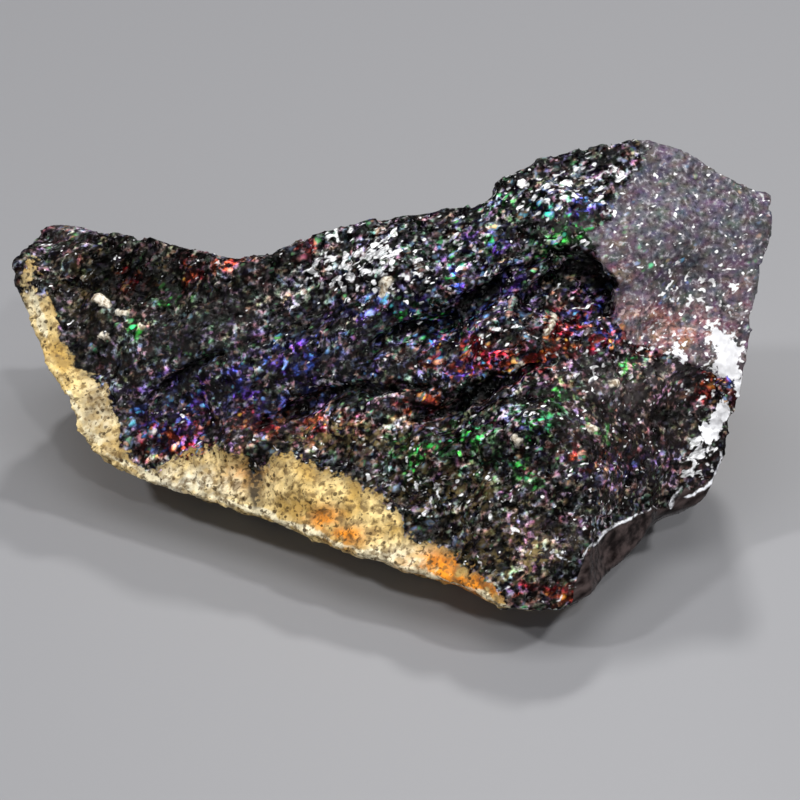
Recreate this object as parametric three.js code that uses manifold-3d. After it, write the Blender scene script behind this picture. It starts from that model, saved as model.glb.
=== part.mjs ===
// A rough, broken lump of Honduran black matrix opal, as one solid.
//
// The lump rests on a flat parting face. From there a crust of host rock leans out
// to a rim, and above the rim the black opal face leans back to a jagged ridge.
// Flow layers in the rock rise to the right, and leave ledges and dark slots where
// they break out of the face. Glassy chips with shell-shaped scars bite into the
// rim at the lower right and into the back.
//
// Millimetres. +X runs along the lump, +Y goes from the opal face to the back and
// +Z is up. The origin is at the middle of the underside.

import * as THREE from "three";
import { ImprovedNoise } from "three/addons/math/ImprovedNoise.js";
import { mergeVertices } from "three/addons/utils/BufferGeometryUtils.js";
import Module from "manifold-3d";

const HEIGHT = 22.8; // underside to the highest point of the ridge
const RIM_HEIGHT = 4; // underside to the front rim

// How far the runs between the long edges bulge out in the middle.
const UNDERCUT_BULGE = new THREE.Vector3(0, 0.3, -0.3);
const FACE_BULGE = new THREE.Vector3(0, -0.4, 0.5);
const TOP_BULGE = new THREE.Vector3(0, 0.2, 0.2);
const BACK_BULGE = new THREE.Vector3(0, 0.9, 0);
const UNDERSIDE_BULGE = new THREE.Vector3(0, 0, -0.5);

const STATIONS = 68; // sections along the lump
const END_RINGS = 7; // rings that close each end
const UNDERCUT_STEPS = 6;
const FACE_STEPS = 26;
const TOP_STEPS = 7;
const BACK_STEPS = 9;
const UNDERSIDE_STEPS = 3;
const CREASE_REACH = 0.045; // share of the length over which an edge's kinks fade out

// The edges that run along the lump, from its left end to its right end, as [x, y, z].
const FRONT_FOOT = [
  [-18.4, 8.2, 0],
  [-14.5, 4.2, 0],
  [-11.9, 2.4, 0],
  [-5.6, -1.4, 0],
  [0.3, -5.2, 0],
  [8, -9, 0],
  [12.2, -5.2, 0],
  [15.5, 0.6, 0],
  [18.2, 2.4, 0],
];
const RIM = [
  [-23.3, 8, 12],
  [-22.5, 6.6, 10.5],
  [-21.5, 4, 9],
  [-20.1, 2.2, 8],
  [-19.4, 0.4, 6],
  [-17.7, -0.5, 4.5],
  [-15.3, -1.9, RIM_HEIGHT],
  [-12.3, -3.2, RIM_HEIGHT],
  [-9.5, -4.9, RIM_HEIGHT],
  [-7.7, -5.5, RIM_HEIGHT],
  [-5.6, -7, RIM_HEIGHT],
  [-2.4, -8.9, RIM_HEIGHT],
  [1.2, -10.8, RIM_HEIGHT],
  [4.2, -11.7, RIM_HEIGHT],
  [5.7, -13.3, 3.6],
  [7.5, -13.8, 3.5],
  [9.3, -13.6, 3.6],
  [11.1, -12.9, RIM_HEIGHT],
  [12.2, -11.5, RIM_HEIGHT],
  [13.1, -9.8, RIM_HEIGHT],
  [14.4, -7.9, RIM_HEIGHT],
  [15.6, -5.4, RIM_HEIGHT],
  [16.5, -4.7, RIM_HEIGHT],
  [18.5, -3.9, RIM_HEIGHT],
  [19.3, -3.4, 6],
  [20.2, -2.3, 9.5],
  [20.8, -1.5, 12],
  [21.4, 0.7, 15.5],
  [22.3, 3.6, 17.5],
  [22.6, 5.6, 18.3],
];
const RIDGE = [
  [-23.2, 9, 12.4],
  [-22.8, 10.1, 12.8],
  [-21.7, 12.2, 13],
  [-20, 11.8, 13.4],
  [-18.1, 10.3, 14],
  [-14.9, 8.2, 14.8],
  [-11.8, 6.4, 15.4],
  [-9.8, 5.2, 15.4],
  [-8, 4.9, 15.5],
  [-6.3, 5.5, 16.5],
  [-2.7, 5.9, 17.5],
  [0.6, 6, 18.2],
  [4.5, 5.4, 19],
  [5.5, 5.4, 19.5],
  [5.8, 6, 20.5],
  [8.6, 6.7, 21.5],
  [12.5, 7, 22.5],
  [14.6, 7.1, HEIGHT],
  [16.3, 7, 22.3],
  [18.2, 6.7, 21.5],
  [20.6, 6.1, 20],
  [22.5, 6.6, 19],
];
const SHOULDER = [
  [-22, 14.2, 9.5],
  [-19, 16, 8.5],
  [-14.5, 14, 8.8],
  [-9.5, 11.5, 9.2],
  [-4, 12.4, 10.6],
  [2, 13.4, 10.8],
  [7, 13.2, 13.8],
  [12, 14, 15.2],
  [17, 13.2, 14.6],
  [20.5, 11.5, 13],
  [22, 9.5, 14.5],
];
const BACK_FOOT = [
  [-17.5, 16, 0],
  [-12, 17, 0],
  [-6, 15, 0],
  [0, 15.8, 0],
  [7, 17.2, 0],
  [13, 16.4, 0],
  [17.6, 12.5, 0],
];

// Ledges of the opal face, as [x, share of the way from rim to ridge]. The rock stands
// proud above each line and is hollowed into a dark slot below it.
const LEDGES = [
  {
    path: [
      [-1.6, 0.61],
      [0.8, 0.65],
      [2.5, 0.7],
      [4.2, 0.735],
      [6.2, 0.735],
      [7.7, 0.71],
      [11.4, 0.69],
    ],
    lip: 0.7,
    slot: 1.1,
  },
  {
    path: [
      [-8, 0.38],
      [-5, 0.43],
      [-3.9, 0.48],
      [-2.1, 0.51],
      [2.3, 0.52],
    ],
    lip: 0.45,
    slot: 0.9,
  },
  {
    path: [
      [1, 0.43],
      [2.6, 0.44],
      [4.2, 0.48],
      [5.2, 0.52],
      [9.8, 0.55],
    ],
    lip: 0.7,
    slot: 1,
  },
];
const LIP_FADE = 2.4; // how far up the face a lip fades out
const SLOT_FADE = 0.9; // how far down the face a slot fades out
const LIP_RISE = 0.8; // how far it is from the bottom of a slot up to its lip

// Lumps and, where the height is below 0, dents of the opal face.
const LUMPS = [
  { x: -17, share: 0.78, radius: 3.6, height: 0.8 }, // lobe at the left end
  { x: -8.7, share: 0.78, radius: 2.4, height: -0.7 }, // below the saddle of the ridge
  { x: -1, share: 0.88, radius: 3.4, height: 0.6 }, // bright chipped swell
  { x: -18, share: 0.15, radius: 2.2, height: 0.4 }, // crust left
  { x: -5.2, share: 0.13, radius: 2.2, height: 0.6 }, // crust middle
  { x: -2.2, share: 0.1, radius: 2.4, height: 0.5 }, // crust middle, right half
  { x: -8.4, share: 0.15, radius: 0.9, height: -0.6 }, // nick between the two crusts
  { x: 8.7, share: 0.3, radius: 5, height: 0.9 }, // belly above the front corner
  { x: 17.2, share: 0.78, radius: 4, height: 1.1 }, // lobe of clear opal
  { x: 14.4, share: 0.72, radius: 1.8, height: 0.7 }, // its edge, beside the hollow
  { x: 9.6, share: 0.68, radius: 1.8, height: -0.6 }, // the open side of the hollow
  { x: 10.5, share: 0.9, radius: 2.4, height: 0.5 }, // crest of the ridge
];

const LAYER_NORMAL = new THREE.Vector3(-0.39, 0.02, 0.92).normalize();
const LAYER_PITCH = 3.1; // thickness of one flow layer
const LAYER_STEP = 0.42; // how far a layer stands proud of the next
const LAYER_WARP = 1.3; // how far the layers wander

const SWELL = { size: 6.5, height: 0.75 }; // broad unevenness
const KNUCKLE = { size: 2.3, height: 0.42 }; // knobs and dents
const GRIT = { size: 1.1, height: 0.16 }; // coarse grain

// Shell-shaped scars, each the bite of a ball that comes in from the given side.
const SCARS = [
  // the glassy chip that takes off the lower right rim
  { at: [13.5, -9, 4.6], from: [0.78, -0.49, 0.4], radius: 12, depth: 0.45 },
  // the hollow with a sharp right edge beside the clear opal
  { at: [11.2, 0.5, 16.2], from: [-0.35, -0.75, 0.55], radius: 2.6, depth: 0.9 },
  // the broken left end
  { at: [-20.8, 9.5, 5.5], from: [-0.9, 0.1, -0.4], radius: 10, depth: 0.9 },
  // the broken right end
  { at: [20.8, 5.6, 12.2], from: [0.96, -0.05, -0.2], radius: 12, depth: 1.3 },
  { at: [19, 10, 5], from: [0.85, 0.45, -0.2], radius: 12, depth: 1.3 },
  // wide scars that run into each other on the back
  { at: [-14, 15.9, 7], from: [-0.2, 0.93, 0.3], radius: 20, depth: 1.7 },
  { at: [-2, 14.4, 6.5], from: [0.12, 0.93, 0.35], radius: 16, depth: 1.1 },
  { at: [10, 15.8, 9], from: [0.12, 0.93, 0.35], radius: 24, depth: 1.9 },
];
const SCAR_GRAIN = 1.1; // edge length of the facets in a scar

const noise = new ImprovedNoise();

// Noise of about -1 to 1 with the given lump size. The channel picks another pattern.
function rumple(point, size, channel = 0) {
  const shift = 17.3 * channel;
  const at = (scale) =>
    noise.noise(
      (point.x * scale) / size + shift,
      (point.y * scale) / size - shift,
      (point.z * scale) / size + 0.5 * shift,
    );
  return 1.3 * (at(1) + 0.5 * at(2.1));
}

// The point of an edge at a share of the way along its length in x.
function alongEdge(edge, share) {
  const x = THREE.MathUtils.lerp(edge[0][0], edge.at(-1)[0], share);
  const next = Math.max(1, edge.findIndex((point) => point[0] >= x - 1e-6));
  const [a, b] = [edge[next - 1], edge[next]];
  const t = THREE.MathUtils.clamp((x - a[0]) / (b[0] - a[0]), 0, 1);
  return new THREE.Vector3(...a).lerp(new THREE.Vector3(...b), t);
}

// The point of an edge, with its kinks blurred over a reach to both sides.
function softEdge(edge, share, reach) {
  const offsets = [-1, -0.5, 0, 0.5, 1];
  const sum = new THREE.Vector3();
  for (const offset of offsets) {
    const near = THREE.MathUtils.clamp(share + offset * reach, 0, 1);
    sum.addScaledVector(alongEdge(edge, near), 1 / offsets.length);
  }
  return sum;
}

// The plain opal face at a share along the lump and a share up from rim to ridge.
function facePoint(along, up) {
  const rim = softEdge(RIM, along, CREASE_REACH * up);
  const ridge = softEdge(RIDGE, along, CREASE_REACH * (1 - up));
  const point = rim.lerp(ridge, up);
  return point.addScaledVector(FACE_BULGE, Math.sin(Math.PI * up));
}

// The closed section at a share of the way along the lump. The looseness of a point
// says how far broad relief may move it: 0 on the rim and the ridge, which are the
// outline seen from the front, little at both ends, and 1 away from them.
function section(along) {
  const foot = softEdge(FRONT_FOOT, along, CREASE_REACH);
  const rim = alongEdge(RIM, along);
  const ridge = alongEdge(RIDGE, along);
  const shoulder = softEdge(SHOULDER, along, CREASE_REACH);
  const backFoot = softEdge(BACK_FOOT, along, CREASE_REACH);
  const fromEnd = Math.min(1, 0.3 + 12 * Math.min(along, 1 - along));
  const points = [];
  const run = (steps, place, looseness, onFace = false) => {
    for (let i = 0; i < steps; i++) {
      const t = i / steps;
      points.push({ point: place(t), looseness: fromEnd * looseness(t), onFace });
    }
  };
  const between = (from, to, bulge) => (t) =>
    from.clone().lerp(to, t).addScaledVector(bulge, Math.sin(Math.PI * t));
  run(UNDERCUT_STEPS, between(foot, rim, UNDERCUT_BULGE), (t) => 1 - t);
  run(FACE_STEPS, (t) => facePoint(along, t), (t) => Math.min(1, 6 * t, 8 * (1 - t)), true);
  run(TOP_STEPS, between(ridge, shoulder, TOP_BULGE), (t) => t);
  run(BACK_STEPS, between(shoulder, backFoot, BACK_BULGE), () => 1);
  run(UNDERSIDE_STEPS, between(backFoot, foot, UNDERSIDE_BULGE), () => 1);
  return points;
}

// Shares along the lump, closer together near both ends.
function stationShare(index) {
  const even = index / (STATIONS - 1);
  return THREE.MathUtils.lerp(even, (1 - Math.cos(Math.PI * even)) / 2, 0.25);
}

// The plain body: one ring of points for each section, and shrinking rings at the ends.
function plainBody() {
  const rings = [];
  for (let i = 0; i < STATIONS; i++) rings.push(section(stationShare(i)));
  const closeEnd = (ring) => {
    const middle = new THREE.Vector3();
    for (const { point } of ring) middle.addScaledVector(point, 1 / ring.length);
    const closing = [];
    for (let i = 1; i < END_RINGS; i++) {
      closing.push(
        ring.map(({ point, looseness }) => ({
          point: point.clone().lerp(middle, i / END_RINGS),
          looseness: THREE.MathUtils.lerp(looseness, 1, i / END_RINGS),
          onFace: false,
        })),
      );
    }
    return { closing, middle };
  };
  const left = closeEnd(rings[0]);
  const right = closeEnd(rings.at(-1));
  const all = [...left.closing.reverse(), ...rings, ...right.closing];
  const vertices = all.flat();
  const around = rings[0].length;
  const faces = [];
  for (let i = 0; i + 1 < all.length; i++) {
    for (let j = 0; j < around; j++) {
      const a = i * around + j;
      const b = i * around + ((j + 1) % around);
      faces.push(a, a + around, b, b, a + around, b + around);
    }
  }
  const leftTip = vertices.length;
  const rightTip = leftTip + 1;
  vertices.push({ point: left.middle, looseness: 1, onFace: false });
  vertices.push({ point: right.middle, looseness: 1, onFace: false });
  const lastRing = (all.length - 1) * around;
  for (let j = 0; j < around; j++) {
    const next = (j + 1) % around;
    faces.push(leftTip, j, next);
    faces.push(rightTip, lastRing + next, lastRing + j);
  }
  return { vertices, faces };
}

// A point of the plain opal face, from x and the share of the way from rim to ridge.
function faceAt(x, up) {
  return facePoint((x - RIM[0][0]) / (RIM.at(-1)[0] - RIM[0][0]), up);
}

const ledgeLines = LEDGES.map(({ path, lip, slot }) => ({
  line: path.map(([x, up]) => faceAt(x, up)),
  lip,
  slot,
}));
const lumpPlaces = LUMPS.map(({ x, share }) => faceAt(x, share));

// The place on a ledge line that is closest to a point.
function closestOnLine(line, point) {
  const best = { distance: Infinity };
  for (let i = 0; i + 1 < line.length; i++) {
    const stretch = new THREE.Line3(line[i], line[i + 1]);
    const t = stretch.closestPointToPointParameter(point, true);
    const place = stretch.at(t, new THREE.Vector3());
    const distance = place.distanceTo(point);
    if (distance < best.distance) {
      best.distance = distance;
      best.above = point.z > place.z;
      best.along = (i + t) / (line.length - 1);
    }
  }
  return best;
}

// How far a ledge moves a point outwards: steeply from the slot up to the lip, and
// gently back to the plain face on both sides.
function ledgeRelief({ line, lip, slot }, point) {
  const { distance, above, along } = closestOnLine(line, point);
  const strength = Math.min(1, 6 * along, 6 * (1 - along));
  if (!above) return -strength * slot * Math.exp(-distance / SLOT_FADE);
  const rise = THREE.MathUtils.smoothstep(distance, 0, LIP_RISE);
  const proud = lip * Math.exp(-distance / LIP_FADE);
  return strength * THREE.MathUtils.lerp(-slot, proud, rise);
}

// How far the relief of the opal face moves a point outwards.
function faceRelief(point) {
  let height = 0;
  for (const ledge of ledgeLines) height += ledgeRelief(ledge, point);
  LUMPS.forEach((lump, i) => {
    const distance = lumpPlaces[i].distanceTo(point);
    height += lump.height * Math.exp(-((distance / lump.radius) ** 2));
  });
  return height;
}

// Ledges where the flow layers break out: each layer stands proud at its lower edge.
function layerRelief(point) {
  const warp = LAYER_WARP * rumple(point, 9, 3);
  const layers = (point.dot(LAYER_NORMAL) + warp) / LAYER_PITCH;
  const within = layers - Math.floor(layers);
  const proud = within < 0.18 ? within / 0.18 : 1 - (within - 0.18) / 0.82;
  const strength = THREE.MathUtils.clamp(0.6 + rumple(point, 8, 5), 0, 1);
  return LAYER_STEP * strength * (proud - 0.5);
}

// The body with its lumps, ledges, slots and grain.
function roughBody() {
  const { vertices, faces } = plainBody();
  const geometry = new THREE.BufferGeometry();
  const flat = vertices.flatMap(({ point }) => point.toArray());
  geometry.setAttribute("position", new THREE.Float32BufferAttribute(flat, 3));
  geometry.setIndex(faces);
  geometry.computeVertexNormals();
  const positions = geometry.getAttribute("position");
  const normals = geometry.getAttribute("normal");
  vertices.forEach(({ point, looseness, onFace }, i) => {
    const normal = new THREE.Vector3().fromBufferAttribute(normals, i);
    const fine = 0.35 + 0.65 * looseness;
    let height = looseness * (layerRelief(point) + SWELL.height * rumple(point, SWELL.size, 1));
    height += fine * KNUCKLE.height * rumple(point, KNUCKLE.size, 2);
    height += fine * GRIT.height * rumple(point, GRIT.size, 4);
    if (onFace) height += looseness * faceRelief(point);
    const moved = point.clone().addScaledVector(normal, height);
    positions.setXYZ(i, moved.x, moved.y, moved.z);
  });
  geometry.deleteAttribute("normal");
  return geometry;
}

const wasm = await Module();
wasm.setup();

// A closed geometry as a solid that can be cut.
function solidOf(geometry) {
  const bare = geometry.clone();
  bare.deleteAttribute("normal");
  bare.deleteAttribute("uv");
  const merged = mergeVertices(bare, 1e-4);
  return new wasm.Manifold(
    new wasm.Mesh({
      numProp: 3,
      vertProperties: merged.getAttribute("position").array,
      triVerts: new Uint32Array(merged.getIndex().array),
    }),
  );
}

// A solid as a geometry again.
function geometryOf(solid) {
  const mesh = solid.getMesh();
  const geometry = new THREE.BufferGeometry();
  geometry.setAttribute("position", new THREE.BufferAttribute(mesh.vertProperties, 3));
  geometry.setIndex(new THREE.BufferAttribute(mesh.triVerts, 1));
  return geometry;
}

// The ball that bites a scar, a little uneven, as chips of opal are.
function scarBall({ at, from, radius, depth }) {
  const centre = new THREE.Vector3(...from).setLength(radius - depth);
  centre.add(new THREE.Vector3(...at));
  const ball = new THREE.IcosahedronGeometry(radius, Math.round(radius / SCAR_GRAIN));
  ball.translate(...centre);
  const positions = ball.getAttribute("position");
  for (let i = 0; i < positions.count; i++) {
    const point = new THREE.Vector3().fromBufferAttribute(positions, i);
    const ripple = 1 + 0.035 * rumple(point, 3, 6);
    point.sub(centre).multiplyScalar(ripple).add(centre);
    positions.setXYZ(i, point.x, point.y, point.z);
  }
  return solidOf(ball);
}

function lump() {
  let solid = solidOf(roughBody());
  for (const scar of SCARS) solid = solid.subtract(scarBall(scar));
  const ground = new THREE.BoxGeometry(80, 80, 20).translate(0, 0, -10);
  solid = solid.subtract(solidOf(ground));
  const geometry = geometryOf(solid);
  geometry.computeBoundingBox();
  const middle = geometry.boundingBox.getCenter(new THREE.Vector3());
  geometry.translate(-middle.x, -middle.y, 0);
  geometry.computeVertexNormals();
  return geometry;
}

const opal = new THREE.Mesh(
  lump(),
  new THREE.MeshStandardMaterial({
    color: 0x1b1a20,
    roughness: 0.28,
    metalness: 0,
    flatShading: true,
  }),
);
opal.name = "opal_rough";

const specimen = new THREE.Group();
specimen.add(opal);
export default specimen;
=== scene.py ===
"""A rough lump of Honduran black matrix opal on a pale floor.

The CAD solid gives the lump's form. Here its skin is remeshed finely, broken up into
grains, and painted: black matrix full of pinfire colour, a corner of clear mauve opal,
a glassy chip, and a crust of tan host rock.

Markings are placed on the face plane, a plane that leans back as the opal face does:
u runs along the lump and v runs up the face, both in millimetres.
"""

import math

import bmesh
import bpy
import numpy as np
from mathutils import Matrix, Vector, noise


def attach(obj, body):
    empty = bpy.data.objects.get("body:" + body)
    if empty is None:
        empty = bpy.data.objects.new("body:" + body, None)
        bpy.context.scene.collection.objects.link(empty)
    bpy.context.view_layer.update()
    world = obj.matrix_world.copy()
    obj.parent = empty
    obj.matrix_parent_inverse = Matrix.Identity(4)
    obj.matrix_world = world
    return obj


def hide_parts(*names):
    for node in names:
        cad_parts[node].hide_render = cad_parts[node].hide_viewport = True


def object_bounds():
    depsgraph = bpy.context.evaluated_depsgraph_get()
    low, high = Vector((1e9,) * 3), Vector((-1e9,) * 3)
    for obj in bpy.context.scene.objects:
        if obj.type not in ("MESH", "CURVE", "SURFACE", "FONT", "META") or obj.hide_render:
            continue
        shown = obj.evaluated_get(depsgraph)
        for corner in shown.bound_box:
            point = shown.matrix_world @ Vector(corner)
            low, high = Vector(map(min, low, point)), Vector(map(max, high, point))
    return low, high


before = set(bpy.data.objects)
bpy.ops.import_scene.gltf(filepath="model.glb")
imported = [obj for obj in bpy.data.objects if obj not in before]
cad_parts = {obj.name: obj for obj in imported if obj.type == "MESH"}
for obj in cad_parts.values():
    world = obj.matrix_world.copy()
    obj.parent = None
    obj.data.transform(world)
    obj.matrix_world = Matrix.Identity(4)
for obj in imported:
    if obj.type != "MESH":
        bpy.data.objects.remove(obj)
cad_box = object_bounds()

MM = 0.001
FACE_LEAN = math.radians(36)  # the face plane looks this far up from the horizon
FACE_UP = np.array([0, math.sin(FACE_LEAN), math.cos(FACE_LEAN)])
FACE_OUT = np.array([0, -math.cos(FACE_LEAN), math.sin(FACE_LEAN)])
FLOW_RISE = math.radians(28)  # the rock's flow lines rise this much to the right
FLOW = np.array([math.cos(FLOW_RISE), 0, 0]) + math.sin(FLOW_RISE) * FACE_UP
GRAIN_STRETCH = 1.35  # grains are this many times longer along the flow
STREAK_STRETCH = 3.0  # and streaks of light this many times

SKIN_VOXEL = 0.315  # mm; the face gets half of this
SKIN_SMOOTHING = 6
BASE_MARGIN = 0.12  # mm above the ground that stay as flat as they are

# Where the crust of host rock ends on the face, from left to right, as (u, v).
CRUST_TOP = [
    (-23.5, 12.6), (-20.6, 12.2), (-19.8, 9.6), (-18.6, 7.8), (-17.2, 6.9), (-16.4, 4.6),
    (-16.1, 3.0), (-15.3, 2.2), (-14.2, 1.7), (-13.4, 2.0), (-12.9, 2.6), (-11.5, 3.1),
    (-9.6, 3.0), (-8.7, 2.5), (-8.2, 1.7), (-7.5, 1.7),
    (-7.0, 2.3), (-5.8, 2.9), (-4.3, 2.1), (-1.5, 0.9), (0.5, -0.6), (0.9, -2.0),
    (2.5, -2.4), (4.6, -3.6), (6.1, -4.9), (7.2, -6.5), (30, -9.0),
]
CRUST_LOBE = [(-21.6, 14.6, 0.35), (-21.8, 13.2, 0.6)]
# Where the clear opal ends on its left side, from the bottom up, as (v, u).
CLEAR_LEFT = [
    (6.6, 25.0), (7.2, 21.0), (7.8, 18.2), (8.7, 16.6), (9.6, 14.2), (10.6, 13.3),
    (11.7, 13.5), (12.8, 13.4), (14.2, 12.4), (15.2, 12.1), (15.8, 11.7), (16.6, 12.9),
    (17.4, 13.0), (18.4, 13.6), (19.2, 14.8), (22.0, 15.2),
]
# Where the glassy chip at the lower right ends, from left to right, as (u, v).
CHIP_TOP = [
    (9.8, -9.0), (10.8, -4.8), (11.3, -3.3), (12.5, -1.8), (14.3, -0.7), (15.9, -0.4),
    (16.8, -0.4), (17.7, 0.9), (18.3, 0.5), (19.4, 1.6),
]

# Bands on the face plane, each a line of (u, v, half width).
SLOTS = [
    [(-1.9, 8.1, 0.05), (-0.2, 9.4, 0.2), (1.6, 10.2, 0.25), (3.4, 10.6, 0.3),
     (5.1, 11.9, 0.5), (6.9, 13.3, 0.25), (8.0, 14.0, 0.1)],
    [(7.9, 12.0, 0.1), (9.6, 12.8, 0.3), (10.8, 13.6, 0.45), (11.6, 13.3, 0.6),
     (12.4, 12.5, 0.6), (12.9, 11.6, 0.3)],
    [(8.0, 14.0, 0.1), (9.6, 14.8, 0.2), (11.1, 14.6, 0.25), (12.2, 13.8, 0.3)],
    [(-8.0, 4.5, 0.05), (-6.8, 5.0, 0.2), (-5.2, 5.6, 0.3), (-3.6, 6.4, 0.25),
     (-1.6, 6.7, 0.12), (1.2, 6.8, 0.12), (2.6, 6.8, 0.05)],
    [(1.4, 5.0, 0.1), (3.4, 5.2, 0.25), (4.8, 6.1, 0.4), (6.2, 6.9, 0.3),
     (7.6, 7.5, 0.15), (9.6, 8.3, 0.05)],
    [(-14.7, 6.0, 0.05), (-12.8, 7.2, 0.2), (-11.2, 8.1, 0.15), (-10.0, 8.8, 0.05)],
]
RIM_BAND = [
    (-21.7, 12.4, 0.3), (-20.3, 8.6, 0.05), (-18.9, 5.6, 0.05), (-18.3, 4.3, 0.1),
    (-16.7, 2.6, 0.15), (-14.5, 1.4, 0.2), (-11.6, 0.6, 0.15), (-8.9, -0.4, 0.15),
    (-5.1, -1.6, 0.2), (-2.0, -2.8, 0.2), (1.6, -4.0, 0.25), (4.5, -4.8, 0.1),
    (6.1, -5.9, 0.2), (8.1, -6.3, 0.2), (9.7, -6.1, 0.1), (11.4, -5.2, 0.0),
]
SEAM = [(-8.1, 2.4, 0.4), (-7.9, 0.9, 0.45), (-7.8, -0.3, 0.3)]
PALE_LUMPS = [
    [(9.2, 10.0, 0.15), (9.8, 10.8, 0.25)],
    [(7.6, 8.1, 0.25), (7.7, 8.2, 0.25)],
    [(-0.4, 12.2, 0.25), (-0.2, 13.1, 0.25)],
    [(-17.7, 12.1, 0.3), (-17.1, 11.8, 0.2)],
    [(-16.4, 11.4, 0.15), (-15.9, 11.3, 0.1)],
    [(-14.9, 10.5, 0.12), (-14.7, 10.3, 0.2)],
    [(-19.3, 14.5, 0.2), (-19.2, 14.3, 0.2)],
    [(-18.9, 13.3, 0.2), (-18.6, 13.3, 0.15)],
    [(-17.3, 9.7, 0.15), (-17.1, 9.7, 0.15)],
    [(7.5, 3.7, 0.25), (7.6, 3.6, 0.2)],
    [(13.0, 7.0, 0.2), (13.2, 7.0, 0.25)],
    [(11.7, 4.4, 0.15), (11.8, 4.3, 0.15)],
]
# Painted highlights: thin lines of light along the edges of broken glass, then patches of glare on the
# right-hand edges.
HIGHLIGHT_LINES = [
    [(11.1, -3.3, 0.02), (12.2, -2.1, 0.04), (13.3, -1.4, 0.06), (14.4, -0.8, 0.06),
     (15.9, -0.4, 0.02)],
    [(16.8, -0.4, 0.05), (17.2, 0.5, 0.1), (17.6, 1.1, 0.02)],
    [(17.5, 0.2, 0.04), (18.2, 0.3, 0.08), (18.9, 0.8, 0.1), (19.5, 1.5, 0.14), (19.8, 2.8, 0.08)],
    [(9.4, -2.7, 0.0), (9.9, -3.2, 0.06), (10.6, -3.5, 0.02)],
]
GLARE_EDGES = [
    [(18.9, 3.0, 0.1), (19.2, 4.2, 0.5), (19.9, 5.4, 0.35), (20.2, 6.0, 0.1)],
    [(16.5, 8.7, 0.1), (17.1, 8.9, 0.3), (17.4, 8.5, 0.2)],
    [(18.8, 10.5, 0.15), (19.4, 10.0, 0.45), (19.9, 9.0, 0.85), (20.0, 8.1, 0.75),
     (20.6, 7.4, 0.35), (20.8, 6.3, 0.2)],
]

# Patches of colour, each (u, v, reach along u, reach along v, strength).
RED_PATCHES = [
    (-11.9, 13.6, 0.6, 0.6, 2.0), (-12.4, 14.8, 0.9, 0.7, 1.2), (-9.6, 14.2, 0.9, 0.6, 1.2),
    (-15.8, 13.3, 0.6, 0.6, 1.8), (-4.9, 15.1, 0.7, 0.6, 1.6), (-9.5, 4.3, 3.8, 0.9, 0.9),
    (-12.9, 3.6, 2.4, 1.2, 0.8), (-4.6, 4.6, 2.6, 0.9, 0.8), (2.0, 6.0, 1.2, 0.8, 1.0),
    (6.4, 8.6, 3.6, 1.2, 1.0), (11.0, 9.8, 2.6, 1.4, 1.0), (15.0, 9.6, 1.8, 0.8, 0.7),
    (19.5, 6.4, 1.2, 0.9, 1.2), (11.8, 2.7, 2.8, 0.8, 0.7), (9.9, -5.2, 1.2, 0.5, 1.0),
    (14.4, 11.2, 0.8, 0.6, 1.6), (8.0, -5.0, 0.8, 0.5, 0.6), (18.4, 7.3, 0.9, 0.5, 0.6),
]
GREEN_PATCHES = [
    (9.8, 15.6, 2.4, 1.4, 0.8), (7.6, 17.6, 2.6, 1.0, 0.7), (5.2, 14.6, 3.0, 1.5, 0.3),
    (9.2, 5.4, 1.6, 1.2, 1.0), (1.0, 2.6, 1.6, 1.0, 0.8), (6.8, 2.8, 3.4, 1.5, 0.8),
    (14.2, 7.9, 0.6, 0.6, 3.0), (9.8, 5.6, 0.8, 0.7, 2.0), (7.0, 2.5, 1.1, 0.5, 1.6),
    (0.9, 2.8, 0.7, 0.5, 1.8), (15.4, 13.8, 1.2, 1.0, 0.6),
    (-12.5, 11.8, 2.2, 1.0, 0.3), (12.4, 4.0, 2.0, 1.4, 0.5), (-15.0, 10.2, 0.5, 0.5, 1.4),
    (1.6, 10.4, 3.0, 1.5, 0.5), (-10.0, 9.0, 3.0, 1.2, 0.25),
]
BLUE_PATCHES = [
    (-12.6, 5.4, 3.6, 1.8, 1.0), (-8.0, 7.2, 4.0, 2.0, 0.6), (-3.8, 8.6, 3.6, 1.6, 0.5),
    (1.6, 10.4, 3.6, 1.7, 0.6), (5.0, 11.8, 3.2, 1.7, 0.6), (12.3, 11.0, 1.4, 1.4, 0.9),
    (9.8, 17.6, 3.0, 1.2, 0.5), (4.6, 7.6, 2.4, 0.9, 0.5), (-12.4, 3.6, 1.8, 0.7, 0.7),
    (14.0, 2.2, 3.0, 1.0, 0.4), (9.4, 4.6, 3.0, 1.4, 0.2), (16.2, 13.2, 1.6, 1.4, 0.8),
    (20.1, 7.2, 0.6, 0.5, 1.6), (5.6, 14.2, 3.2, 1.8, 0.45),
]
# Where the painted glints gather.
GLINT_PATCHES = [
    (-1.4, 14.0, 4.4, 2.0, 1.2), (-3.4, 13.4, 2.0, 1.4, 0.8), (8.6, 18.4, 4.6, 1.3, 1.1),
    (4.4, 15.8, 3.0, 1.4, 0.4), (13.6, 19.4, 1.6, 0.9, 0.9), (19.9, 9.0, 1.7, 2.6, 0.8),
    (-17.6, 12.6, 2.2, 1.6, 0.2), (6.0, 9.9, 2.6, 0.8, 0.6), (0.6, 12.0, 4.0, 1.6, 0.4),
    (2.2, 0.6, 3.4, 1.6, 0.4), (12.0, 7.4, 2.0, 1.4, 0.4), (16.4, 9.4, 2.6, 0.5, 0.7),
    (18.6, 12.2, 2.4, 2.2, 0.8), (18.3, 2.6, 0.9, 1.5, 1.1),
]
# Where painted glints are fewer, flecks weaker, and a haze lies between the grains.
CALM_PATCHES = [(-14.6, 9.4, 6.4, 5.0, 0.9), (-9.0, 5.0, 5.0, 2.0, 0.7), (-2.0, 8.6, 5.0, 2.4, 0.5)]
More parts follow.
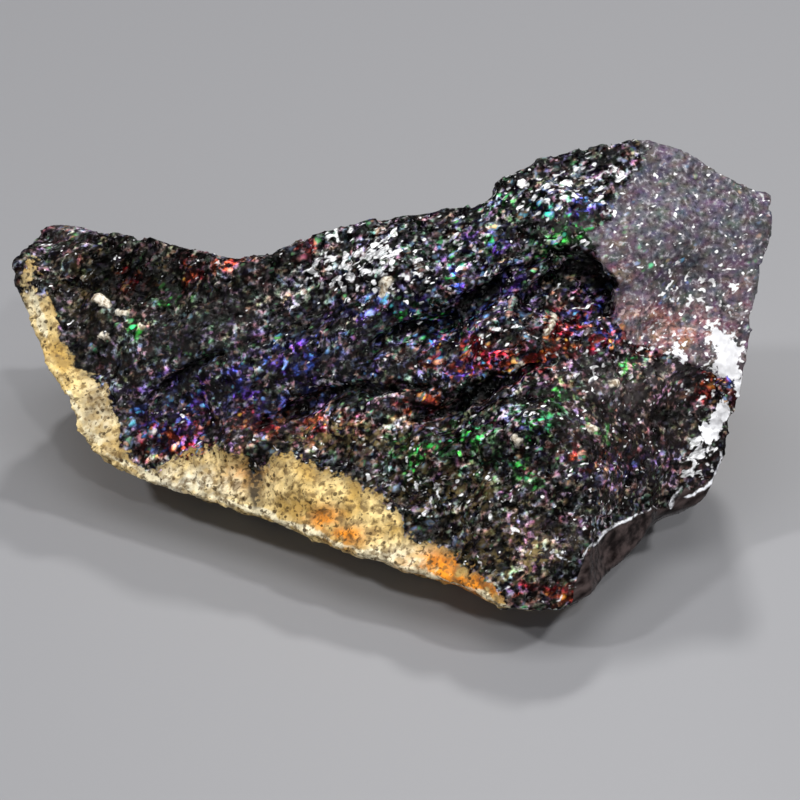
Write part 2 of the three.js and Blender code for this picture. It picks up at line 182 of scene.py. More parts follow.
RUST_PATCHES = [
    (-3.9, -1.0, 1.0, 0.7, 0.7), (-2.5, -2.0, 1.2, 0.6, 0.7), (3.4, -3.8, 1.7, 0.9, 1.3),
    (5.1, -4.8, 1.5, 0.8, 1.3), (-8.4, 1.6, 1.4, 0.6, 0.3),
]
CREAM_PATCHES = [
    (-12.6, 0.8, 4.0, 1.2, 1.0), (-17.6, 5.0, 1.4, 2.6, 0.6), (7.4, -2.4, 1.6, 0.4, 0.8),
    (-22.0, 11.5, 1.2, 2.2, 0.5), (0.4, -3.4, 2.4, 0.8, 0.8),
]
# Painted shade: patches where the colour of the black rock is darkened.
SHADE_PATCHES = [
    (-16.4, 13.6, 6.6, 2.8, 1.0), (-6.6, 6.4, 3.0, 1.0, 0.4), (11.0, 0.6, 3.0, 1.2, 0.4),
    (-11.8, 4.6, 3.4, 1.4, 0.5), (6.0, 2.4, 4.0, 2.2, 0.3), (14.8, 3.4, 3.6, 2.6, 0.5),
    (-18.0, 5.2, 1.2, 2.4, 0.6), (-9.6, 13.2, 2.4, 1.4, 0.6), (-15.6, 7.0, 1.8, 2.0, 0.4),
]
VEIL_PATCHES = [(13.5, 6.7, 1.2, 0.9, 1.0), (16.4, 7.4, 2.6, 0.6, 0.5), (10.8, 16.4, 1.6, 0.6, 0.4)]
DUST_PATCHES = [
    (-3.2, 3.8, 3.6, 0.9, 1.0), (3.4, 0.4, 3.0, 1.4, 0.7), (6.6, -3.0, 3.2, 1.6, 1.0),
    (-18.4, 12.8, 1.4, 1.8, 0.5),
]
SMOKE_PATCHES = [(14.6, 4.4, 4.2, 3.8, 1.0), (8.0, -2.2, 3.6, 2.0, 0.5)]
ROSE_PATCHES = [
    (17.2, 9.9, 3.2, 1.4, 1.0), (15.0, 11.0, 1.6, 0.7, 0.9), (13.6, 13.4, 1.0, 2.0, 0.4),
    (20.4, 11.4, 0.8, 1.6, 0.5),
]

FLOOR_SIZE = 1.6
CAMERA_LENS = 180  # mm
CAMERA_DISTANCE = 0.240
CAMERA_AIM = Vector((0.66, -1.03, 8.13)) * MM


# Fields over the skin: one value for each vertex.


def smoothstep(low, high, x):
    t = np.clip((x - low) / (high - low), 0, 1)
    return t * t * (3 - 2 * t)


def rumple(points, size, channel=0):
    """Noise of about -1 to 1 whose lumps have the given size in mm."""
    shift = Vector((17.3, -11.9, 7.7)) * channel
    return np.array([noise.noise(Vector(p) / size + shift) for p in points])


def patches(u, v, blobs):
    """The strongest of the soft round patches at each point."""
    best = np.zeros(len(u))
    for u0, v0, reach_u, reach_v, strength in blobs:
        distance = ((u - u0) / reach_u) ** 2 + ((v - v0) / reach_v) ** 2
        best = np.maximum(best, strength * np.exp(-distance))
    return best


def inside_bands(u, v, bands):
    """How far inside the nearest band each point is, in mm, and below 0 outside."""
    here = np.stack([u, v], axis=1)
    depth = np.full(len(u), -3.0)
    for band in bands:
        for (*start, half_start), (*end, half_end) in zip(band, band[1:]):
            stretch = np.subtract(end, start)
            along = np.clip((here - start) @ stretch / (stretch @ stretch), 0, 1)
            off = here - start - along[:, None] * stretch
            half = half_start + along * (half_end - half_start)
            depth = np.maximum(depth, half - np.hypot(off[:, 0], off[:, 1]))
    return depth


def grains(points, size, channel=0):
    """Height and slope of broken grains: each Voronoi cell is a facet of its own tilt."""
    shift = Vector((5.1, 3.7, -9.3)) * channel
    height = np.empty(len(points))
    for i, p in enumerate(points):
        place = Vector(p) / size + shift
        distances, centres = noise.voronoi(place)
        tilt = noise.cell_vector(centres[0] * 37.7) * 2 - Vector((1, 1, 1))
        step = noise.cell(centres[0] * 53.1)
        height[i] = 0.8 * (place - centres[0]).dot(tilt) + 0.5 * step - 0.4 * distances[0]
    return height * size


# The skin.


def voxel_copy(node):
    """A new mesh of even quads with the form of a CAD node."""
    lump = bpy.data.objects.new("lump", node.data.copy())
    bpy.context.scene.collection.objects.link(lump)
    remesh = lump.modifiers.new("remesh", "REMESH")
    remesh.mode = "VOXEL"
    remesh.voxel_size = SKIN_VOXEL * MM
    seen = lump.evaluated_get(bpy.context.evaluated_depsgraph_get())
    mesh = bpy.data.meshes.new_from_object(seen)
    bpy.data.objects.remove(lump)
    mesh.materials.clear()
    return mesh


def refine_face(mesh):
    """Halves the edges of the quads that look out of the opal face."""
    bm = bmesh.new()
    bm.from_mesh(mesh)
    out = Vector(FACE_OUT)
    facing = [f for f in bm.faces if f.normal.dot(out) > 0.1]
    edges = list({e for f in facing for e in f.edges})
    bmesh.ops.subdivide_edges(bm, edges=edges, cuts=1, use_grid_fill=True)
    bm.to_mesh(mesh)
    bm.free()


def coordinates(mesh):
    """The vertices in mm."""
    flat = np.empty(len(mesh.vertices) * 3, np.float32)
    mesh.vertices.foreach_get("co", flat)
    return flat.reshape(-1, 3).astype(float) / MM


def set_coordinates(mesh, points):
    mesh.vertices.foreach_set("co", (points * MM).astype(np.float32).ravel())
    mesh.update()


def vertex_normals(mesh):
    flat = np.empty(len(mesh.vertices) * 3, np.float32)
    mesh.vertex_normals.foreach_get("vector", flat)
    return flat.reshape(-1, 3).astype(float)


def smoothed(mesh, values, rounds, pull=0.5):
    """Values of the vertices, evened out along the edges."""
    ends = np.empty(len(mesh.edges) * 2, np.int32)
    mesh.edges.foreach_get("vertices", ends)
    a, b = ends.reshape(-1, 2).T
    size = len(values)
    count = np.bincount(ends, minlength=size)[:, None]
    for _ in range(rounds):
        total = [np.bincount(a, part[b], size) + np.bincount(b, part[a], size) for part in values.T]
        values = values + pull * (np.stack(total, axis=1) / count - values)
    return values


def rounded(mesh, points):
    """The points with the CAD facets evened out and the size kept."""
    for _ in range(SKIN_SMOOTHING):
        points = smoothed(mesh, points, 1, 0.5)
        points = smoothed(mesh, points, 1, -0.52)
    return points


def zones(points, normals):
    """Where each material and colour is, as a dict of fields.

    The fields from crust to seam are distances in mm from the border of that zone,
    above 0 inside it. The others are strengths.
    """
    u = points[:, 0] + 0.3 * rumple(points, 1.3, 1)
    v = points @ FACE_UP + 0.3 * rumple(points, 1.3, 3)
    facing = normals @ FACE_OUT
    ahead = smoothstep(-0.25, 0.1, facing) * smoothstep(-1, 3, points @ FACE_OUT)
    behind = 1 - ahead

    face_crust = np.interp(u, *zip(*CRUST_TOP)) - v
    face_crust = np.maximum(face_crust, inside_bands(u, v, [CRUST_LOBE]))
    x, y, z = points.T
    rear_line = 7.5 + 3.5 * rumple(points, 8, 5) + 1.2 * rumple(points, 2.5, 6)
    end_line = y + 12 - 1.6 * np.maximum(x - 10, 0) + 1.5 * rumple(points, 2.5, 10)
    rear_crust = np.minimum(rear_line - z, end_line)
    crust = ahead * np.clip(face_crust, -2, 2) + behind * np.clip(rear_crust, -2, 2)
    clear = u - np.interp(v, *zip(*CLEAR_LEFT))
    chip = np.where(u > CHIP_TOP[0][0], np.interp(u, *zip(*CHIP_TOP)) - v, -3.0)
    hidden = -3.0 * behind
    turned = -3.0 * smoothstep(0.25, 0.0, facing)

    uneven = 0.2 + 0.8 * smoothstep(-0.2, 0.25, rumple(points, 1.8, 7))
    rear_fire = 0.3 * behind * smoothstep(0.0, 0.5, rumple(points, 4.5, 8))
    smoke = np.maximum(ahead * patches(u, v, SMOKE_PATCHES), 0.5 * behind)
    fire = lambda blobs: (1 - 0.7 * smoke) * ahead * uneven * patches(u, v, blobs) + rear_fire
    rear_rust = 0.4 * smoothstep(0.0, 0.6, rumple(points, 3, 9) + 0.6 * rumple(points, 1, 11))
    fields = {
        "crust": crust,
        "clear": clear,
        "chip": chip + hidden,
        "slot": inside_bands(u, v, SLOTS) + hidden,
        "pale": inside_bands(u, v, PALE_LUMPS) + hidden,
        "glare": inside_bands(u, v, GLARE_EDGES) + turned,
        "edge_highlight": inside_bands(u, v, HIGHLIGHT_LINES) + turned,
        "rim": inside_bands(u, v, [RIM_BAND]) + hidden,
        "seam": inside_bands(u, v, [SEAM]) + hidden,
        "red": fire(RED_PATCHES),
        "green": fire(GREEN_PATCHES),
        "blue": fire(BLUE_PATCHES),
        "glint": ahead * patches(u, v, GLINT_PATCHES),
        "calm": ahead * patches(u, v, CALM_PATCHES),
        "rust": ahead * patches(u, v, RUST_PATCHES) + behind * rear_rust,
        "cream": ahead * patches(u, v, CREAM_PATCHES),
        "dust": ahead * patches(u, v, DUST_PATCHES),
        "dark": ahead * patches(u, v, SHADE_PATCHES),
        "veil": ahead * patches(u, v, VEIL_PATCHES),
        "smoke": smoke,
        "rose": ahead * patches(u, v, ROSE_PATCHES),
    }
    return fields


def roughened(points, normals, zone):
    """The points moved in and out: grains in the matrix, slots, pits in the crust."""
    crust = smoothstep(-0.2, 0.2, zone["crust"])
    clear = smoothstep(-0.2, 0.2, zone["clear"]) * (1 - crust)
    chip = smoothstep(-0.1, 0.1, zone["chip"])
    slot = smoothstep(-0.35, 0.15, zone["slot"])
    pale = smoothstep(-0.2, 0.2, zone["pale"])
    matrix = (1 - crust) * (1 - clear) * (1 - chip) * (1 - 0.5 * zone["smoke"])
    blocks = grains(points, 2.3, 3)
    coarse = grains(points, 0.95, 1)
    fine = grains(points, 0.42, 2)
    height = matrix * (0.12 * blocks + 0.14 * coarse + 0.17 * fine)
    height += crust * (0.05 * blocks + 0.09 * coarse + 0.16 * fine)
    height += clear * (0.04 * coarse + 0.06 * fine)
    height += 0.2 * pale - 0.55 * slot * (1 - crust)
    off_base = smoothstep(BASE_MARGIN, 3 * BASE_MARGIN, points[:, 2])
    moved = points + normals * (off_base * height)[:, None]
    low, high = (np.array(corner) / MM for corner in cad_box)
    return np.clip(moved, low, high)


def store(mesh, name, values):
    layer = mesh.attributes.new(name, "FLOAT", "POINT")
    layer.data.foreach_set("value", values.astype(np.float32))


def make_stone(node):
    mesh = voxel_copy(node)
    refine_face(mesh)
    points = rounded(mesh, coordinates(mesh))
    set_coordinates(mesh, points)
    normals = smoothed(mesh, vertex_normals(mesh), 10)
    normals /= np.linalg.norm(normals, axis=1, keepdims=True)
    zone = zones(points, normals)
    set_coordinates(mesh, roughened(points, normals, zone))
    for name, values in zone.items():
        store(mesh, name, values)
    mesh.shade_smooth()
    stone = bpy.data.objects.new("opal_stone", mesh)
    bpy.context.scene.collection.objects.link(stone)
    return stone


# Materials.


class Nodes:
    """Short names for the shader nodes of one material."""

    def __init__(self, name):
        self.material = bpy.data.materials.new(name)
        self.material.use_nodes = True
        self.tree = self.material.node_tree
        self.shader = self.tree.nodes["Principled BSDF"]

    def add(self, kind, **settings):
        node = self.tree.nodes.new(kind)
        for key, value in settings.items():
            setattr(node, key, value)
        return node

    def plug(self, socket, value):
        if isinstance(value, bpy.types.NodeSocket):
            self.tree.links.new(value, socket)
        elif isinstance(value, tuple) and len(value) == 3 and socket.type == "RGBA":
            socket.default_value = (*value, 1)
        else:
            socket.default_value = value

    def math(self, operation, *values):
        node = self.add("ShaderNodeMath", operation=operation)
        for socket, value in zip(node.inputs, values):
            self.plug(socket, value)
        return node.outputs[0]

    def product(self, first, *others):
        for other in others:
            first = self.math("MULTIPLY", first, other)
        return first

    def vector(self, operation, *values):
        node = self.add("ShaderNodeVectorMath", operation=operation)
        sockets = node.inputs if operation != "SCALE" else (node.inputs[0], node.inputs["Scale"])
        for socket, value in zip(sockets, values):
            self.plug(socket, value)
        return node.outputs["Value" if operation == "DOT_PRODUCT" else "Vector"]

    def mix(self, share, a, b):
        node = self.add("ShaderNodeMix", data_type="RGBA")
        self.plug(node.inputs["Factor"], share)
        self.plug(node.inputs["A"], a)
        self.plug(node.inputs["B"], b)
        return node.outputs["Result"]

    def between(self, share, a, b):
        node = self.add("ShaderNodeMix", data_type="FLOAT")
        self.plug(node.inputs["Factor"], share)
        self.plug(node.inputs["A"], a)
        self.plug(node.inputs["B"], b)
        return node.outputs["Result"]

    def step(self, low, high, value):
        node = self.add("ShaderNodeMapRange", interpolation_type="SMOOTHSTEP")
        self.plug(node.inputs["Value"], value)
        self.plug(node.inputs["From Min"], low)
        self.plug(node.inputs["From Max"], high)
        return node.outputs["Result"]

    def field(self, name):
        return self.add("ShaderNodeAttribute", attribute_name=name).outputs["Fac"]

    def noise(self, place, size, detail=2.0, colour=False):
        """Noise about 0.5, or three of them in a colour, with lumps of the given size."""
        node = self.add("ShaderNodeTexNoise")
        self.plug(node.inputs["Vector"], place)
        self.plug(node.inputs["Scale"], 1 / size)
        self.plug(node.inputs["Detail"], detail)
        return node.outputs["Color" if colour else "Fac"]

    def cells(self, place, size):
        """Distance from the cell's middle, and a random colour of the cell."""
        node = self.add("ShaderNodeTexVoronoi")
        self.plug(node.inputs["Vector"], place)
        self.plug(node.inputs["Scale"], 1 / size)
        return node.outputs["Distance"], node.outputs["Color"]

    def split(self, vector):
        node = self.add("ShaderNodeSeparateXYZ")
        self.plug(node.inputs[0], vector)
        return node.outputs

    def joined(self, x, y, z):
        node = self.add("ShaderNodeCombineXYZ")
        for socket, value in zip(node.inputs, (x, y, z)):
            self.plug(socket, value)
        return node.outputs[0]


class OpalPlaces:
    """Where the shader is on the stone, in mm: as it is, wobbled, and squeezed along the flow."""

    def __init__(self, n):
        place = n.add("ShaderNodeTexCoord").outputs["Object"]
        self.plain = n.vector("SCALE", place, 1 / MM)
        wobble = n.vector("SUBTRACT", n.noise(self.plain, 0.45, 2.0, colour=True), (0.5, 0.5, 0.5))
        self.wobbled = n.vector("ADD", self.plain, n.vector("SCALE", wobble, 0.11))
        self.flow = self.squeezed(n, GRAIN_STRETCH)
        self.streaks = self.squeezed(n, STREAK_STRETCH)

    def squeezed(self, n, stretch):
        along = n.vector("DOT_PRODUCT", self.wobbled, tuple(FLOW))
        excess = n.math("MULTIPLY", along, 1 - 1 / stretch)
        return n.vector("SUBTRACT", self.wobbled, n.vector("SCALE", tuple(FLOW), excess))

    def shifted(self, n, amount):
        """The flow place moved, for a pattern of its own."""
        return n.vector("ADD", self.flow, (3.1 * amount, 7.7 * amount, -1.9 * amount))


def border(n, name, ragged, softness=0.08):
    """1 inside a zone and 0 outside, with a border as ragged as the given noise."""
    distance = n.math("ADD", n.field(name), ragged)
    return n.step(-softness, softness, distance)


def pinfire(n, places):
    """The colour of the pinfire from place to place, and how strong it is."""
    zone = n.joined(n.field("red"), n.field("green"), n.field("blue"))
    lift = n.vector("MULTIPLY_ADD", zone, (0.12, 0.12, 0.12), (-0.49, -0.49, -0.49))
    glow = n.vector("ADD", n.noise(places.shifted(n, 5), 0.45, 1.0, colour=True), lift)
    glow = n.vector("MINIMUM", n.vector("SCALE", glow, 8.0), (1, 1, 1))
    most = n.vector("MULTIPLY_ADD", zone, (3, 3, 3), (0.2, 0.2, 0.2))
    most = n.vector("MINIMUM", most, (1.3, 1.3, 1.3))
    glow = n.vector("MULTIPLY", n.vector("MAXIMUM", glow, (0, 0, 0)), most)
    others = n.math("MULTIPLY", n.vector("DOT_PRODUCT", glow, (1, 1, 1)), -0.7)
    glow = n.vector("MULTIPLY_ADD", glow, (1.7, 1.7, 1.7), n.joined(others, others, others))
    glow = n.vector("MAXIMUM", glow, (0, 0, 0))
    hue = n.step(0.42, 0.58, n.noise(places.shifted(n, 7), 0.9, 1.0))
    warm = n.mix(hue, (0.90, 0.02, 0.03), (1.0, 0.17, 0.0))
    watery = n.math("MULTIPLY", hue, n.step(0.0, 0.4, n.field("blue")))
    leafy = n.mix(watery, (0.03, 0.60, 0.05), (0.01, 0.42, 0.55))
    cold = n.mix(hue, (0.05, 0.20, 0.85), (0.20, 0.05, 0.75))
    tint = (0, 0, 0)
    for share, tone in zip(n.split(glow), (warm, leafy, cold)):
        tint = n.vector("MULTIPLY_ADD", tone, share, tint)
    strength = n.vector("DOT_PRODUCT", glow, (1, 1, 1))
    return tint, n.math("MINIMUM", strength, 1.0)


def grey_cast(n):
    """The cast of the grey grain: brown where it is dusty and in the painted shade, and towards the pinfire's
    colours.
    """
    cast = (1, 1, 1)
    casts = {
        "dark": (1.15, 0.95, 0.72),
        "dust": (1.20, 1.00, 0.66),
        "smoke": (1.30, 0.90, 0.80),
        "green": (0.88, 1.12, 0.50),
        "red": (1.80, 0.55, 0.85),
        "blue": (1.18, 0.42, 1.65),
    }
    for name, tone in casts.items():
        cast = n.mix(n.math("MINIMUM", n.field(name), 0.9), cast, tone)
    return cast


def flecks(n, place, size, share, brightness, fire, cast):
    """Soft round flecks: grey ones, and brighter ones in the colour of the pinfire."""
    tint, strength = fire
    distance, dice = n.cells(place, size)
    present, shine, _ = n.split(dice)
    reach = n.math("MULTIPLY_ADD", shine, 0.25, 0.35)
    dot = n.math("SUBTRACT", 1, n.step(0.05, reach, distance))
    plain = 0.04 / size
    plain = n.math("MULTIPLY_ADD", strength, -0.8 * plain, plain)
    own = n.vector("SCALE", n.vector("MULTIPLY", dice, dice), n.math("MULTIPLY", strength, 0.5))
    tone = n.vector("ADD", n.vector("ADD", tint, own), n.vector("SCALE", cast, plain))
    tone = n.mix(n.product(dot, dot, strength, 0.1), tone, (1, 1, 1))
    dot = n.math("MULTIPLY", dot, n.math("LESS_THAN", present, share))
    shine = n.math("MULTIPLY_ADD", n.math("POWER", shine, 2.2), brightness, 0.1)
    return n.vector("SCALE", tone, n.math("MULTIPLY", dot, shine))


def glints(n, places):
    """Painted highlights of broken glass: flakes and streaks where glints gather, and dots."""
    gathered = n.math("SUBTRACT", n.field("glint"), n.field("calm"))
    spread = n.math("MULTIPLY_ADD", n.noise(places.shifted(n, 1), 1.6, 2.0), 0.24, -0.12)
    flakes = n.math("MULTIPLY_ADD", gathered, 0.17, n.noise(places.shifted(n, 2), 0.45, 1.0))
    flakes = n.step(0.69, 0.79, n.math("ADD", flakes, spread))
    streaks = n.math("MULTIPLY_ADD", gathered, 0.10, n.noise(places.streaks, 0.32, 1.0))
    streaks = n.step(0.73, 0.81, n.math("ADD", streaks, spread))
    dots = n.math("MULTIPLY_ADD", gathered, 0.06, n.noise(places.shifted(n, 3), 0.34, 1.0))
    dots = n.step(0.71, 0.79, n.math("ADD", dots, spread))
    light = n.math("MAXIMUM", n.math("MAXIMUM", streaks, flakes), dots)
    sheen = n.step(0.36, 0.60, n.noise(places.streaks, 0.22, 2.0))
    return n.math("MULTIPLY", light, n.math("MULTIPLY_ADD", sheen, 0.75, 0.3))


def matrix_ground(n, places, fire, cast):
    """Black rock with sugary grain, washed with the colours of the pinfire."""
    tint, strength = fire
    deep = n.step(0.40, 0.66, n.noise(places.plain, 1.7, 4.0))
    colour = n.mix(deep, (0.001, 0.0008, 0.0008), (0.005, 0.0035, 0.0035))
    colour = n.mix(n.math("MULTIPLY", n.field("smoke"), 0.8), colour, (0.034, 0.026, 0.025))
    colour = n.vector("MULTIPLY_ADD", tint, (0.035, 0.022, 0.035), colour)

    tones = n.noise(places.shifted(n, 13), 0.7, 1.0, colour=True)
    tones = n.vector("MULTIPLY_ADD", tones, (1.5, 1.5, 1.7), (0.15, 0.12, 0.10))
    tones = n.vector("MULTIPLY", tones, cast)
    tones = n.vector("SCALE", tones, n.math("MULTIPLY_ADD", strength, -0.8, 1.0))
    wash = n.vector("MULTIPLY_ADD", tint, (2.2, 1.8, 2.4), tones)
    patch = n.step(0.40, 0.64, n.noise(places.shifted(n, 4), 1.2, 2.0))
    sugar = n.step(0.40, 0.74, n.noise(places.wobbled, 0.34, 2.0))
    sugar = n.product(sugar, sugar, n.math("MULTIPLY_ADD", patch, 0.72, 0.10))
    colour = n.vector("ADD", colour, n.vector("SCALE", wash, sugar))
    crumbs = n.step(0.48, 0.62, n.noise(places.shifted(n, 16), 0.40, 3.0))
    return n.mix(n.product(crumbs, n.field("dust"), 0.8), colour, (0.27, 0.20, 0.08))


def matrix_colour(n, places, fire):
    """Black ground with flecks and painted glints, painted light and shade, and painted shade in slots."""
    # Painted light and shade: broad lighter and darker patches, and painted shade in gaps between grains.
    broad_painted_light = n.step(0.36, 0.64, n.noise(places.streaks, 1.3, 3.0))
    broad_painted_light = n.math("MULTIPLY_ADD", broad_painted_light, 1.1, 0.3)
    hole_shade = n.step(0.34, 0.50, n.noise(places.shifted(n, 15), 0.6, 2.0))
    hole_shade = n.math("MULTIPLY_ADD", hole_shade, 0.85, 0.15)
    depth = n.math("MULTIPLY", broad_painted_light, hole_shade)
    cast = grey_cast(n)
    colour = n.vector("SCALE", matrix_ground(n, places, fire, cast), depth)
    haze = n.product(n.field("calm"), hole_shade, 0.014)
    colour = n.vector("ADD", colour, n.vector("SCALE", cast, haze))
    # The flecks are dimmed in the painted shade, in smoky glass and where it is calm.
    lit = n.math("MULTIPLY_ADD", depth, 0.9, 0.25)
    lit = n.math("MULTIPLY", lit, n.math("MULTIPLY_ADD", n.field("smoke"), -0.88, 1.0))
    lit = n.math("MULTIPLY", lit, n.math("MULTIPLY_ADD", n.field("calm"), -0.3, 1.0))
    for size, share, brightness, shift in ((0.28, 0.36, 0.9, 18), (0.40, 0.30, 1.7, 9), (0.60, 0.20, 2.8, 10)):
        light = flecks(n, places.shifted(n, shift), size, share, brightness, fire, cast)
        colour = n.vector("ADD", colour, n.vector("SCALE", light, lit))
    cloud = n.math("MULTIPLY", n.field("veil"), n.step(0.36, 0.56, n.noise(places.flow, 0.5, 3.0)))
    colour = n.mix(n.math("MULTIPLY", cloud, 0.8), colour, (0.115, 0.10, 0.105))
    # Painted shade: the colour is darkened in the shade patches.
    colour = n.vector("SCALE", colour, n.math("MULTIPLY_ADD", n.field("dark"), -0.95, 1.0))
    # Painted highlights: the glints are laid over the colour.
    colour = n.mix(glints(n, places), colour, (0.92, 0.92, 0.93))
    # Painted shade in the slots: the colour falls to 6 % inside them.
    ragged = n.math("MULTIPLY_ADD", n.noise(places.plain, 0.7, 3.0), 1.2, -0.6)
    slot = border(n, "slot", ragged, 0.2)
    return n.vector("SCALE", colour, n.between(slot, 1.0, 0.06))


def clear_colour(n, places, fire):
    """Cloudy mauve opal with a sugary grain and faint colours, painted glints, and a rosy band along its lower
    side.
    """
    cloud = n.step(0.35, 0.65, n.noise(places.plain, 2.6, 3.0))
    colour = n.mix(cloud, (0.072, 0.064, 0.076), (0.118, 0.105, 0.125))
    rose = n.math("MULTIPLY", n.field("rose"), n.step(0.36, 0.60, n.noise(places.flow, 0.7, 3.0)))
    rosy = n.mix(n.noise(places.streaks, 0.4, 2.0), (0.22, 0.08, 0.085), (0.48, 0.23, 0.18))
    colour = n.mix(n.math("MULTIPLY", rose, 0.9), colour, rosy)
    wash = n.noise(places.shifted(n, 14), 0.6, 1.0, colour=True)
    colour = n.vector("MULTIPLY", colour, n.vector("MULTIPLY_ADD", wash, (1.0, 1.0, 1.0), (0.5, 0.5, 0.5)))
    grain = n.noise(places.wobbled, 0.26, 2.0)
    colour = n.mix(n.math("MULTIPLY", n.step(0.50, 0.32, grain), 0.75), colour, (0.022, 0.018, 0.025))
    colour = n.mix(n.math("MULTIPLY", n.step(0.54, 0.74, grain), 0.75), colour, (0.42, 0.40, 0.43))
    colour = n.vector("ADD", colour, flecks(n, places.shifted(n, 11), 0.38, 0.45, 1.15, fire, (1, 1, 1)))
    threads = n.step(0.58, 0.68, n.noise(places.shifted(n, 21), 0.26, 1.0))
    colour = n.mix(n.product(threads, rose, 0.8), colour, (0.85, 0.66, 0.64))
    # Painted highlights: glints in the clear opal, most where glints gather.
    clear_glints = n.math("MULTIPLY_ADD", n.field("glint"), 0.14, n.noise(places.flow, 0.32, 1.0))
    return n.mix(n.step(0.67, 0.75, clear_glints), colour, (0.85, 0.85, 0.85))


def crust_colour(n, places):
    """Tan host rock: cream and rusty patches, brown blotches, round dark pits, and dirt and painted shade near
    its border.
    """
    tone = n.step(0.34, 0.66, n.noise(places.plain, 1.5, 5.0))
    colour = n.mix(tone, (0.52, 0.33, 0.09), (0.92, 0.70, 0.31))
    chalky = n.step(0.36, 0.60, n.noise(places.shifted(n, 20), 0.5, 2.0))
    chalky = n.math("MULTIPLY", n.field("cream"), n.math("MULTIPLY_ADD", chalky, 0.7, 0.4))
    colour = n.mix(n.math("MINIMUM", chalky, 1.0), colour, (0.97, 0.90, 0.68))
    rusty = n.product(n.field("rust"), n.step(0.30, 0.50, n.noise(places.flow, 0.9, 4.0)), 1.5)
    ochre = n.mix(n.step(0.40, 0.60, n.noise(places.plain, 0.6, 2.0)), (0.60, 0.20, 0.03), (1.0, 0.34, 0.03))
    colour = n.mix(n.math("MINIMUM", rusty, 1.0), colour, ochre)
    rim = n.step(-0.05, 0.1, n.math("ADD", n.field("rim"), n.math("MULTIPLY_ADD", tone, 0.3, -0.15)))
    colour = n.mix(n.math("MULTIPLY", rim, 0.9), colour, (0.97, 0.87, 0.60))
    grain = n.noise(places.wobbled, 0.34, 3.0)
    colour = n.mix(n.math("MULTIPLY", n.step(0.54, 0.34, grain), 0.8), colour, (0.15, 0.09, 0.032))
    pepper = n.step(0.60, 0.68, n.noise(places.shifted(n, 19), 0.24, 1.0))
    colour = n.mix(n.math("MULTIPLY", pepper, 0.75), colour, (0.07, 0.045, 0.02))
    stain = n.step(0.50, 0.62, n.noise(places.shifted(n, 17), 0.7, 4.0))
    colour = n.mix(n.math("MULTIPLY", stain, 0.4), colour, (0.20, 0.14, 0.07))
    distance, dice = n.cells(places.wobbled, 0.36)
    present, reach, _ = n.split(dice)
    reach = n.math("MULTIPLY_ADD", reach, 0.20, 0.10)
    pits = n.math("SUBTRACT", 1, n.step(reach, n.math("ADD", reach, 0.16), distance))
    pits = n.math("MULTIPLY", pits, n.math("LESS_THAN", present, 0.24))
    colour = n.mix(n.math("MULTIPLY", pits, 0.85), colour, (0.035, 0.02, 0.009))
    blotch = n.step(0.60, 0.70, n.noise(places.shifted(n, 8), 1.0, 4.0))
    colour = n.mix(n.math("MULTIPLY", blotch, 0.6), colour, (0.10, 0.058, 0.027))
    # Dirt along the border of the crust, and painted shade where the shade patches reach it.
    border_or_shade = n.math("MAXIMUM", n.step(0.9, 0.0, n.field("crust")), n.field("dark"))
    dirt_and_shade = n.product(border_or_shade, n.step(0.40, 0.56, grain), 0.6)
    colour = n.mix(dirt_and_shade, colour, (0.08, 0.066, 0.04))
    sooty = n.math("MULTIPLY", border(n, "seam", 0.0, 0.25), n.step(0.36, 0.52, grain))
    return n.mix(n.math("MULTIPLY", sooty, 0.9), colour, (0.03, 0.025, 0.022))


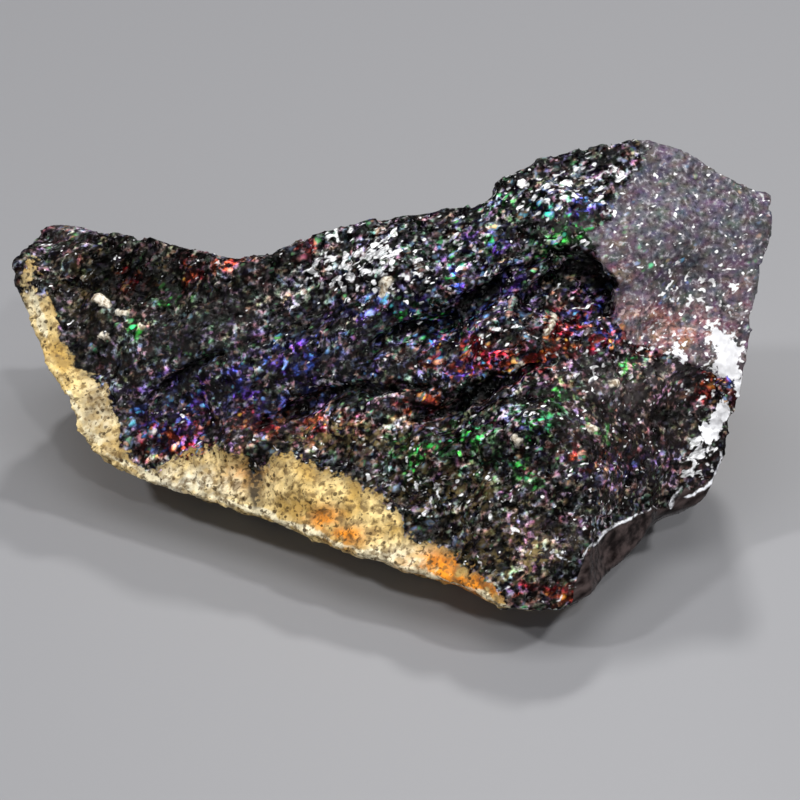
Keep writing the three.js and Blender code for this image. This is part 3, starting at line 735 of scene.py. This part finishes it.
def opal_material():
    n = Nodes("matrix_opal")
    places = OpalPlaces(n)
    crumbly = n.math("ADD", n.noise(places.plain, 0.9, 2.0), n.noise(places.plain, 0.32, 2.0))
    crumbly = n.math("MULTIPLY_ADD", crumbly, 1.8, -1.8)
    hazy = n.math("MULTIPLY_ADD", n.noise(places.plain, 0.5, 4.0), 1.6, -0.8)
    crust = border(n, "crust", crumbly, 0.22)
    clear = border(n, "clear", hazy, 0.25)
    chip = border(n, "chip", 0.0)
    pale = border(n, "pale", n.math("MULTIPLY", crumbly, 0.25), 0.1)
    # Painted highlights: glare along the right-hand edges.
    glare = border(n, "glare", n.math("MULTIPLY_ADD", crumbly, 0.6, -0.04), 0.08)

    fire = pinfire(n, places)
    colour = n.mix(clear, matrix_colour(n, places, fire), clear_colour(n, places, fire))
    smoky = n.step(0.30, 0.75, n.noise(places.streaks, 0.45, 3.0))
    smoky = n.mix(smoky, (0.006, 0.004, 0.004), (0.068, 0.050, 0.048))
    colour = n.mix(chip, colour, smoky)
    cream = n.mix(n.step(0.35, 0.6, n.noise(places.plain, 0.3, 2.0)), (0.28, 0.22, 0.15), (0.80, 0.74, 0.62))
    colour = n.mix(pale, colour, cream)
    colour = n.mix(glare, colour, (0.88, 0.88, 0.90))
    # Painted highlights: thin lines of light along the edges of the chip.
    edge_highlight = border(n, "edge_highlight", n.math("MULTIPLY", crumbly, 0.1), 0.06)
    colour = n.mix(edge_highlight, colour, (0.85, 0.86, 0.90))
    colour = n.mix(crust, colour, crust_colour(n, places))
    n.plug(n.shader.inputs["Base Color"], colour)

    dull = n.step(0.4, 0.6, n.noise(places.flow, 0.5, 2.0))
    glassy = n.between(dull, 0.12, 0.45)
    roughness = n.between(clear, glassy, 0.6)
    n.plug(n.shader.inputs["Roughness"], n.between(crust, roughness, 0.8))
    n.shader.inputs["IOR"].default_value = 1.16

    # Broken glass: the surface tilts from grain to grain.
    fine = n.vector("SUBTRACT", n.noise(places.flow, 0.26, 1.0, colour=True), (0.5, 0.5, 0.5))
    facet = n.vector("SUBTRACT", n.cells(places.flow, 0.44)[1], (0.5, 0.5, 0.5))
    tilt = n.vector("ADD", n.vector("SCALE", fine, 1.5), n.vector("SCALE", facet, 0.6))
    amount = n.between(crust, n.between(clear, 0.9, 0.35), 0.4)
    amount = n.between(chip, amount, 0.1)
    normal = n.add("ShaderNodeNewGeometry").outputs["Normal"]
    normal = n.vector("NORMALIZE", n.vector("ADD", normal, n.vector("SCALE", tilt, amount)))
    n.plug(n.shader.inputs["Normal"], normal)
    return n.material


def floor_material():
    n = Nodes("studio_floor")
    place = n.add("ShaderNodeTexCoord").outputs["Object"]
    tone = n.noise(place, 0.4, 3.0)
    n.plug(n.shader.inputs["Base Color"], n.mix(tone, (0.22, 0.22, 0.23), (0.245, 0.245, 0.255)))
    n.shader.inputs["Roughness"].default_value = 0.5
    return n.material


# The studio.


def make_floor():
    bm = bmesh.new()
    bmesh.ops.create_grid(bm, x_segments=1, y_segments=1, size=FLOOR_SIZE / 2)
    mesh = bpy.data.meshes.new("floor")
    bm.to_mesh(mesh)
    bm.free()
    mesh.materials.append(floor_material())
    floor = bpy.data.objects.new("floor", mesh)
    floor.location.z = -0.00002
    bpy.context.scene.collection.objects.link(floor)


def make_lamp(name, place, size, power):
    data = bpy.data.lights.new(name, "AREA")
    data.size = size
    data.energy = power
    lamp = bpy.data.objects.new(name, data)
    lamp.location = place
    aim = Vector((0, 0, 0.01)) - lamp.location
    lamp.rotation_euler = aim.to_track_quat("-Z", "Y").to_euler()
    bpy.context.scene.collection.objects.link(lamp)


def make_studio():
    scene = bpy.context.scene
    world = bpy.data.worlds.new("studio")
    world.use_nodes = True
    world.node_tree.nodes["Background"].inputs["Color"].default_value = (0.9, 0.92, 1, 1)
    world.node_tree.nodes["Background"].inputs["Strength"].default_value = 0.09
    scene.world = world
    scene.view_settings.view_transform = "Standard"
    make_lamp("softbox", (0.0, -0.05, 0.50), 0.30, 1.30)
    make_lamp("front_panel", (0.0, -0.60, 0.30), 0.35, 0.65)
    # Small lamps put sparks on the broken glass.
    make_lamp("spark_right", (0.22, -0.04, 0.28), 0.03, 0.60)
    make_lamp("spark_left", (-0.22, -0.08, 0.28), 0.03, 0.50)
    make_lamp("spark_back", (0.04, 0.24, 0.30), 0.03, 0.45)
    make_lamp("spark_front", (0.06, -0.24, 0.30), 0.02, 0.30)


def make_camera():
    data = bpy.data.cameras.new("camera")
    data.lens = CAMERA_LENS
    data.sensor_width = 36
    data.clip_start = 0.01
    camera = bpy.data.objects.new("camera", data)
    camera.location = CAMERA_AIM + Vector(FACE_OUT) * CAMERA_DISTANCE
    camera.rotation_euler = (-Vector(FACE_OUT)).to_track_quat("-Z", "Y").to_euler()
    bpy.context.scene.collection.objects.link(camera)
    bpy.context.scene.camera = camera


stone = make_stone(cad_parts["opal_rough"])
stone.data.materials.append(opal_material())
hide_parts("opal_rough")
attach(stone, "root")

make_floor()
make_studio()
make_camera()
